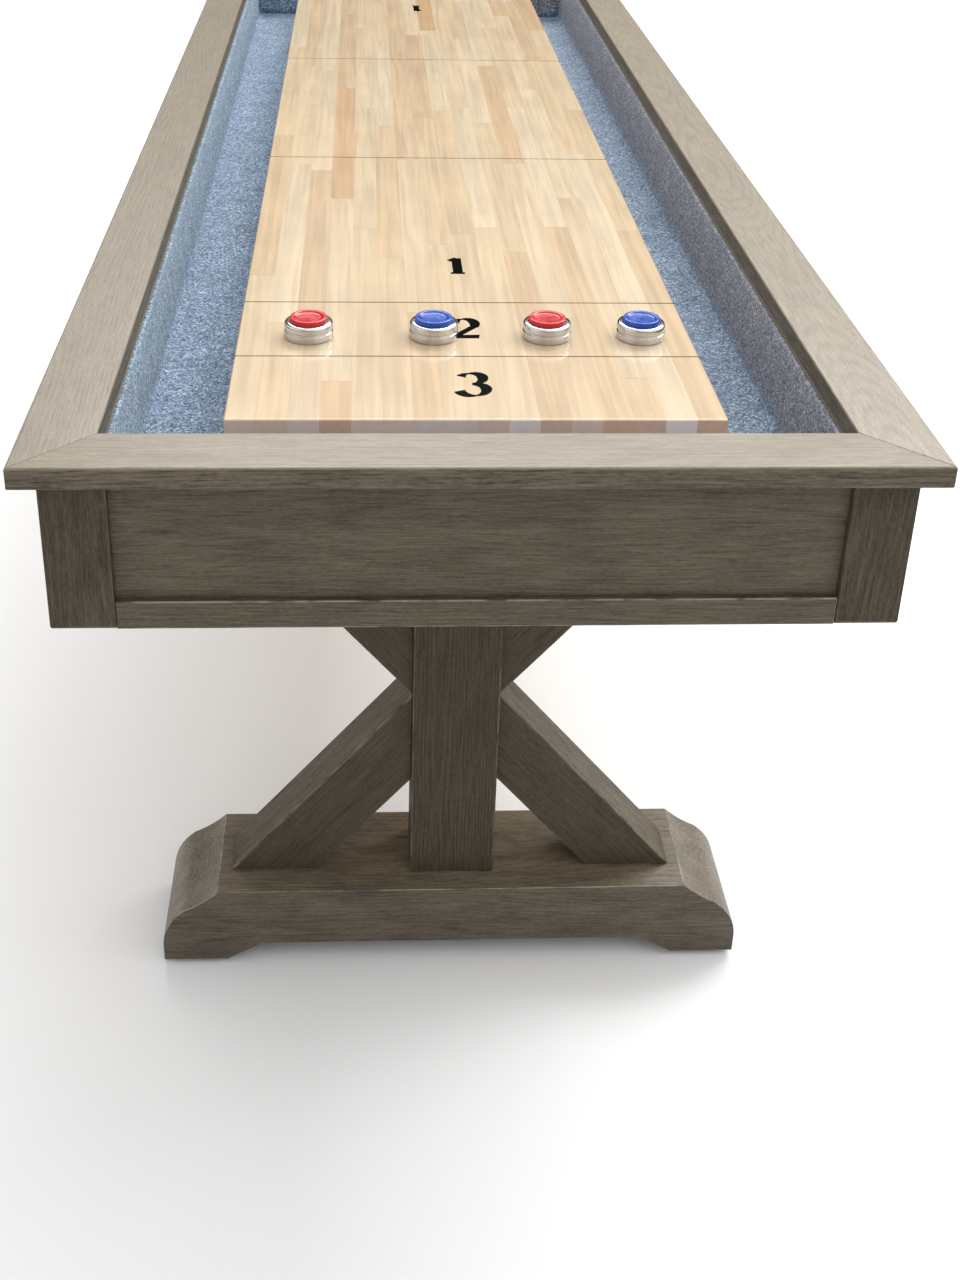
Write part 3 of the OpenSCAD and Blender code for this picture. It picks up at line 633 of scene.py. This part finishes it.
def lacquered_maple():
    """Strips along Y, each cut at its own staggered joints and coloured by its own number. The
    end faces take their own tint per piece, brown on some and pale on others, and are painted
    paler than the face grain as painted light."""
    material, tree, shader = new_material("lacquered maple")

    def number(operation, a, b=0.0, c=0.0):
        return put(tree, "Math", {0: a, 1: b, 2: c}, operation=operation).outputs[0]

    def ramp(value, low, high, to_low=0.0, to_high=1.0):
        return put(tree, "MapRange", {0: value, 1: low, 2: high, 3: to_low, 4: to_high},
                   interpolation_type="SMOOTHSTEP").outputs[0]

    place = put(tree, "TexCoord").outputs["Object"]
    x, y = put(tree, "SeparateXYZ", {0: place}).outputs[:2]
    across = number("DIVIDE", x, strip)
    row = number("FLOOR", across)
    shift = put(tree, "TexWhiteNoise", {"W": row}, noise_dimensions="1D").outputs["Value"]
    length = number("ADD", number("DIVIDE", y, strip_piece), number("MULTIPLY", shift, 7.0))
    piece = number("FLOOR", length)
    which = put(tree, "CombineXYZ", {0: row, 1: piece, 2: 0.0}).outputs[0]
    own = put(tree, "TexWhiteNoise", {"Vector": which}, noise_dimensions="2D")
    tints = ((0.0, (0.56, 0.35, 0.18)), (0.16, (0.56, 0.385, 0.22)), (0.4, (0.59, 0.435, 0.265)),
             (0.7, (0.62, 0.48, 0.31)), (1.0, (0.645, 0.515, 0.345)))
    tint = colour_steps(tree, own.outputs["Value"], tints)
    log = put(tree, "VectorMath", {0: own.outputs["Color"], 1: (3.0, 9.0, 5.0)},
              operation="MULTIPLY").outputs[0]
    moved = put(tree, "VectorMath", {0: place, 1: log}, operation="ADD").outputs[0]
    grain = put(tree, "Mapping", {"Vector": moved, "Scale": (110, 3.2, 110)}).outputs[0]
    figure = put(tree, "TexNoise", {
        "Vector": grain, "Scale": 1.0, "Detail": 4.0, "Distortion": 0.6}).outputs[0]
    fine = put(tree, "Mapping", {"Vector": moved, "Scale": (900, 18, 900)}).outputs[0]
    fibre = put(tree, "TexNoise", {"Vector": fine, "Scale": 1.0, "Detail": 2.0}).outputs[0]
    broad = put(tree, "TexNoise", {"Vector": moved, "Scale": 7.0, "Detail": 2.0}).outputs[0]
    shade = number("MULTIPLY_ADD", ramp(figure, 0.3, 0.7), 0.2, 0.845)
    shade = number("MULTIPLY_ADD", ramp(fibre, 0.3, 0.7), 0.06, shade)
    shade = number("MULTIPLY_ADD", ramp(broad, 0.3, 0.7), 0.1, number("SUBTRACT", shade, 0.08))
    edge = number("ABSOLUTE", number("SUBTRACT", number("FRACT", across), 0.5))
    glue = ramp(edge, 0.482, 0.497, 1.0, 0.91)
    butt = number("ABSOLUTE", number("SUBTRACT", number("FRACT", length), 0.5))
    joint = ramp(butt, 0.4985, 0.4997, 1.0, 0.72)
    shade = number("MULTIPLY", number("MULTIPLY", shade, glue), joint)
    colour = put(tree, "Mix", {0: 1.0, 6: tint, 7: shade}, data_type="RGBA",
                 blend_type="MULTIPLY")
    normal = put(tree, "SeparateXYZ", {0: put(tree, "NewGeometry").outputs["True Normal"]})
    # End faces tinted per piece, and painted paler than the face grain as painted light.
    end = number("GREATER_THAN", number("ABSOLUTE", normal.outputs[1]), 0.7)
    which_end_tint = put(tree, "SeparateColor", {0: own.outputs["Color"]}).outputs[1]
    end_tint_and_painted_light = put(tree, "Mix", {0: which_end_tint, 6: (0.74, 0.44, 0.34, 1), 7: (0.9, 0.8, 0.86, 1)},
                 data_type="RGBA")
    end_fac = number("MULTIPLY", end, number("MULTIPLY_ADD", own.outputs["Value"], 0.45, 0.35))
    ends = put(tree, "Mix", {0: end_fac, 6: colour.outputs[2], 7: end_tint_and_painted_light.outputs[2]},
               data_type="RGBA")
    tree.links.new(ends.outputs[2], shader.inputs["Base Color"])
    tree.links.new(ramp(fibre, 0.3, 0.7, 0.38, 0.5), shader.inputs["Roughness"])
    shader.inputs["Specular IOR Level"].default_value = 0.25
    shader.inputs["Coat Weight"].default_value = 1.0
    shader.inputs["Coat Roughness"].default_value = lacquer_blur
    return material


maple_finish = lacquered_maple()
board = eased_boards("playfield", maple_finish, ease=0.0022)
board.name = "playing_board"
board_low, board_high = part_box("playfield")

ink_rise = 0.00004
ink_step = 0.00002
ink_depth = 0.0004


def inlay(name, ribbons, material):
    """A mark on the board made of ribbons, each between two outline curves of the same count:
    P(t, u) = (1 - u) A(t) + u B(t). The first is `ink_rise` proud of the board and each later
    one `ink_step` more, and all are closed below its face."""
    mats = []
    for k, sides in enumerate(ribbons):
        upper = np.zeros((2, len(sides[0]), 3))
        upper[..., :2] = sides
        upper[..., 2] = board_high.z + ink_rise + ink_step * k
        lower = upper.copy()
        lower[..., 2] = board_high.z - ink_depth
        mats.append(closed_mat(upper, lower))
    mesh = outward_mesh(name, mats)
    mesh.materials.append(material)
    mark = bpy.data.objects.new(name, mesh)
    bpy.context.scene.collection.objects.link(mark)
    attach(mark, "table")


def under_lacquer(name, colour):
    """Screen-printed ink, slightly uneven, under the board's clear coat."""
    material, tree, shader = new_material(name)
    place = put(tree, "TexCoord").outputs["Object"]
    film = put(tree, "TexNoise", {"Vector": place, "Scale": 420.0, "Detail": 3.0})
    shade = put(tree, "MapRange", {0: film.outputs[0], 1: 0.3, 2: 0.7, 3: 0.75, 4: 1.25})
    ink = put(tree, "Mix", {0: 1.0, 6: (*colour, 1), 7: shade.outputs[0]}, data_type="RGBA",
              blend_type="MULTIPLY")
    tree.links.new(ink.outputs[2], shader.inputs["Base Color"])
    rough = put(tree, "MapRange", {0: film.outputs[0], 3: 0.4, 4: 0.55})
    tree.links.new(rough.outputs[0], shader.inputs["Roughness"])
    shader.inputs["Specular IOR Level"].default_value = 0.0
    shader.inputs["Coat Weight"].default_value = 1.0
    shader.inputs["Coat Roughness"].default_value = lacquer_blur
    return material


black_ink = under_lacquer("black ink", (0.002, 0.002, 0.002))
line_ink = under_lacquer("line ink", (0.1, 0.075, 0.045))
line_width = 0.0022


def straight(name, y):
    """A line across the board at one distance along it, stopping just short of the edges."""
    x = np.linspace(board_low.x + 0.0004, board_high.x - 0.0004, 41)
    near_side = np.stack([x, 0 * x + y - line_width / 2], 1)
    inlay(name, [(near_side, near_side + (0, line_width))], line_ink)


def stroke(start, end, count):
    """Points spaced evenly from one end of a straight stroke to the other."""
    return np.linspace(start, end, count)


def arc(cx, cy, rx, ry, start, end, count=28):
    """Points on an ellipse from one angle to another, in degrees."""
    a = np.radians(np.linspace(start, end, count))
    return np.stack([cx + rx * np.cos(a), cy + ry * np.sin(a)], 1)


def pen(path, nib=0.2, slope=14.0, hair=0.05):
    """The two sides of a broad-nib stroke along a path: the path plus and minus half the nib held
    at a fixed slope, and half a hairline square to the path, so that no stroke vanishes."""
    step = np.gradient(path, axis=0)
    step /= np.linalg.norm(step, axis=1, keepdims=True)
    square = np.stack([-step[:, 1], step[:, 0]], 1)
    held = np.array([math.cos(math.radians(slope)), math.sin(math.radians(slope))])
    facing = square @ held
    half = ((nib * np.abs(facing) + hair) / 2)[:, None]
    return path + square * half, path - square * half


glyphs = {
    "3": [
        np.concatenate([arc(-0.02, 0.27, 0.23, 0.19, 165, 0),
                        arc(-0.06, 0.27, 0.27, 0.25, -8, -80)]),
        np.concatenate([arc(-0.04, -0.2, 0.29, 0.215, 88, 0),
                        arc(-0.04, -0.2, 0.29, 0.27, -6, -165)]),
    ],
    "2": [
        np.concatenate([arc(0.0, 0.22, 0.23, 0.24, 165, -10),
                        stroke((0.21, 0.1), (-0.27, -0.4), 20)]),
        stroke((-0.28, -0.43), (0.28, -0.43), 24),
        stroke((-0.28, -0.37), (0.3, -0.35), 24),
    ],
    "1": [
        stroke((-0.17, 0.28), (0.04, 0.44), 12),
        stroke((0.03, 0.44), (0.03, -0.44), 24),
        stroke((-0.15, -0.44), (0.2, -0.44), 12),
    ],
}
figure_high = 0.061
figure_wide = 0.82 * figure_high
figure_from_end = {"3": 0.086, "2": 0.24, "1": 0.446}
line_gap = 0.16
foul_line = 0.321
board_end = board_high.y
for end, name in ((-1, "near"), (1, "far")):
    straight(f"{name}_line_three", end * (board_end - line_gap))
    straight(f"{name}_line_two", end * (board_end - 2 * line_gap))
    straight(f"{name}_foul_line", end * foul_line)
    for figure, from_end in figure_from_end.items():
        ribbons = [np.array(pen(path)) * (-end * figure_wide, -end * figure_high)
                   + (0.001, end * (board_end - from_end)) for path in glyphs[figure]]
        inlay(f"{name}_figure_{figure}", ribbons, black_ink)

# ---------------------------------------------------------------- adjusters and bolts
# Zinc-plated angles screwed under the board with a threaded rod between each pair, lag bolts
# through the beams, and levelling feet. Their shapes are the construction's own.


def zinc():
    """Spangled zinc plate: crystal patches a few millimetres across, with fine scuffs."""
    material, tree, shader = new_material("zinc plate")
    place = put(tree, "TexCoord").outputs["Object"]
    patch = put(tree, "TexVoronoi", {"Vector": place, "Scale": 260.0})
    pick = put(tree, "SeparateColor", {0: patch.outputs["Color"]}).outputs[0]
    scuff = put(tree, "TexNoise", {"Vector": place, "Scale": 500.0, "Detail": 4.0}).outputs[0]
    tone = put(tree, "Math", {0: scuff, 1: 0.5, 2: pick}, operation="MULTIPLY_ADD").outputs[0]
    colour = put(tree, "Mix", {0: tone, 6: (0.42, 0.43, 0.44, 1), 7: (0.62, 0.63, 0.64, 1)},
                 data_type="RGBA")
    tree.links.new(colour.outputs[2], shader.inputs["Base Color"])
    rough = put(tree, "MapRange", {0: tone, 1: 0.2, 2: 1.2, 3: 0.3, 4: 0.46})
    tree.links.new(rough.outputs[0], shader.inputs["Roughness"])
    relief = put(tree, "Bump", {"Strength": 0.25, "Distance": 0.0002, "Height": scuff})
    tree.links.new(relief.outputs[0], shader.inputs["Normal"])
    shader.inputs["Metallic"].default_value = 1.0
    return material


zinc_finish = zinc()
for node in ("adjuster_angles", "adjuster_rod_1", "adjuster_rod_2", "adjuster_rod_3",
             "near_lag_bolts", "far_lag_bolts", "leveller_nuts",
             "leveller_1", "leveller_2", "leveller_3", "leveller_4"):
    dress(node, zinc_finish)

# ---------------------------------------------------------------- trestles
# Each is a post tenoned between a moulded foot and a beam, with four square braces bird-mouthed
# against it, all of the same brushed oak, and bolted up through the beam into the bearers.

# The foot's higher tone is painted light and the post's lower tone painted shade, the post standing
# in shade under the table.
foot_finish = oak_finish(
    "foot oak", tone=1.14, rings=0.1, streaks=0.2, blotches=0.45, pores=0.35, wear_and_highlight=0.8,
    gloss=0.3, coat=0.3, side=0.58, even=(0.1, 0.15))
post_finish = oak_finish(
    "post oak", tone=0.53, rings=-0.35, streaks=0.12, blotches=0.2, pores=0.2, wear_and_highlight=0.6,
    gloss=0.1, side=0.86, even=(0.0, 0.25))
brace_finish = oak_finish(
    "brace oak", tone=0.76, rings=0.1, streaks=0.15, blotches=0.3, pores=0.25, wear_and_highlight=0.5,
    gloss=0.1, side=0.62, even=(0.1, 0.3))
brace_lean = math.radians(49.5)
for end in ("near", "far"):
    for part, finish, lean in (
            ("foot", foot_finish, 0), ("post", post_finish, 0), ("beam", brace_finish, 0),
            ("lower_braces", brace_finish, brace_lean),
            ("upper_braces", brace_finish, -brace_lean)):
        eased_boards(f"{end}_{part}", finish, ease=0.0022, lean=lean)

# ---------------------------------------------------------------- pucks
# A turned and polished steel weight, waisted round the middle, with a screwed-in plastic cap that
# has a shallow dish. Four red and four blue, set out across the board at both ends. A film of
# wax on the board holds the rim of each clear of it.


def turned(name, profile, centre, finish, body, node, segments=96):
    """A profile of (radius, height) points revolved about an upright axis, closed where it meets
    the axis. Faces run anticlockwise seen from outside."""
    profile = np.array(profile, float)
    ring = profile[1:-1]
    turn = np.linspace(0, 2 * np.pi, segments, endpoint=False)
    x = ring[:, :1] * np.cos(turn)
    y = ring[:, :1] * np.sin(turn)
    z = np.repeat(ring[:, 1:], segments, 1)
    points = np.stack([x, y, z], -1).reshape(-1, 3)
    points = np.concatenate([points, [[0, 0, profile[0, 1]], [0, 0, profile[-1, 1]]]]) + centre
    index = np.arange(len(ring) * segments).reshape(len(ring), segments)
    nxt = np.roll(index, -1, 1)
    wall = np.stack([index[:-1], nxt[:-1], nxt[1:], index[1:]], -1).reshape(-1, 4)
    low, high = len(points) - 2, len(points) - 1
    bottom = [(low, b, a) for a, b in zip(index[0].tolist(), nxt[0].tolist())]
    top = [(high, a, b) for a, b in zip(index[-1].tolist(), nxt[-1].tolist())]
    mesh = bpy.data.meshes.new(name)
    mesh.from_pydata(points.tolist(), [], wall.tolist() + bottom + top)
    mesh.shade_smooth()
    mesh.materials.append(finish)
    piece = bpy.data.objects.new(name, mesh)
    bpy.context.scene.collection.objects.link(piece)
    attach(piece, body)
    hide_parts(node)


def round_corner(corner, before, after, radius, count=6):
    """Points round a corner of a profile: the quadratic curve that leaves the side towards
    `before` and joins the side towards `after`, `radius` from the corner."""
    corner, before, after = (np.array(p, float) for p in (corner, before, after))
    a = corner + (before - corner) / np.linalg.norm(before - corner) * radius
    b = corner + (after - corner) / np.linalg.norm(after - corner) * radius
    t = np.linspace(0, 1, count)[:, None]
    return (1 - t) ** 2 * a + 2 * t * (1 - t) * corner + t ** 2 * b


def softened(corners, radii):
    """A profile with every inner corner rounded by its own radius."""
    parts = [np.array([corners[0]])]
    for k in range(1, len(corners) - 1):
        parts.append(round_corner(corners[k], corners[k - 1], corners[k + 1], radii[k - 1]))
    parts.append(np.array([corners[-1]]))
    return np.concatenate(parts)


def polished_steel(name):
    """Turned steel: fine rings of tool marks about each puck's own axis, and faint handling."""
    material, tree, shader = new_material(name)
    place = put(tree, "TexCoord").outputs["Object"]
    height = put(tree, "SeparateXYZ", {0: place}).outputs[2]
    mark = put(tree, "TexNoise", {"W": height, "Scale": 5200.0, "Detail": 2.0},
               noise_dimensions="1D").outputs[0]
    smear = put(tree, "TexNoise", {"Vector": place, "Scale": 60.0, "Detail": 4.0}).outputs[0]
    colour = put(tree, "Mix", {0: smear, 6: (0.5, 0.5, 0.51, 1), 7: (0.66, 0.66, 0.67, 1)},
                 data_type="RGBA")
    tree.links.new(colour.outputs[2], shader.inputs["Base Color"])
    rough = put(tree, "MapRange", {0: smear, 1: 0.3, 2: 0.7, 3: 0.13, 4: 0.22})
    tree.links.new(rough.outputs[0], shader.inputs["Roughness"])
    relief = put(tree, "Bump", {"Strength": 0.2, "Distance": 0.0001, "Height": mark})
    tree.links.new(relief.outputs[0], shader.inputs["Normal"])
    shader.inputs["Metallic"].default_value = 1.0
    return material


def moulded_cap(name, colour):
    """Gloss plastic with a slight unevenness from the mould."""
    material, tree, shader = new_material(name)
    place = put(tree, "TexCoord").outputs["Object"]
    flow = put(tree, "TexNoise", {"Vector": place, "Scale": 90.0, "Detail": 3.0}).outputs[0]
    shade = put(tree, "MapRange", {0: flow, 1: 0.3, 2: 0.7, 3: 0.88, 4: 1.1}).outputs[0]
    tint = put(tree, "Mix", {0: 1.0, 6: (*colour, 1), 7: shade}, data_type="RGBA",
               blend_type="MULTIPLY")
    tree.links.new(tint.outputs[2], shader.inputs["Base Color"])
    rough = put(tree, "MapRange", {0: flow, 1: 0.3, 2: 0.7, 3: 0.2, 4: 0.3}).outputs[0]
    tree.links.new(rough, shader.inputs["Roughness"])
    relief = put(tree, "Bump", {"Strength": 0.1, "Distance": 0.0004, "Height": flow})
    tree.links.new(relief.outputs[0], shader.inputs["Normal"])
    return material


steel_finish = polished_steel("polished steel")
blue_cap = moulded_cap("blue cap", (0.012, 0.06, 0.36))
red_cap = moulded_cap("red cap", (0.5, 0.012, 0.014))
puck_r = 0.027
waist_r = puck_r - 0.0012
wax = 0.00012
hollow = 0.0006
weight_high = 0.019
seat_r, seat_z = 0.0211, 0.0155
weight_profile = softened(
    [(0, hollow), (puck_r - 0.004, hollow), (puck_r - 0.003, wax), (puck_r, wax),
     (puck_r, 0.0079), (waist_r, 0.0086), (waist_r, 0.0104), (puck_r, 0.0111), (puck_r, 0.0185),
     (puck_r - 0.0045, weight_high), (seat_r, weight_high), (seat_r, seat_z), (0, seat_z)],
    [0.0003, 0.0003, 0.0014, 0.0004, 0.0004, 0.0004, 0.0004, 0.003, 0.0005, 0.0004, 0.0004])
cap_r, cap_low, cap_high, dish = 0.0208, 0.0156, 0.024, 0.0222
cap_profile = softened(
    [(0, cap_low), (cap_r, cap_low), (cap_r, cap_high), (0.0168, cap_high), (0.0145, dish),
     (0, dish)],
    [0.0004, 0.0018, 0.0012, 0.0016])
for k in range(1, 9):
    low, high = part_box(f"puck_{k}_weight")
    centre = ((low.x + high.x) / 2, (low.y + high.y) / 2, low.z)
    turned(f"puck_{k}_steel", weight_profile, centre, steel_finish,
           f"puck_{k}", f"puck_{k}_weight")
    cap_finish, cap_slot = (red_cap, "red_cap") if k % 2 else (blue_cap, "blue_cap")
    turned(f"puck_{k}_top", cap_profile, centre, cap_finish,
           f"puck_{k}", f"puck_{k}_cap")
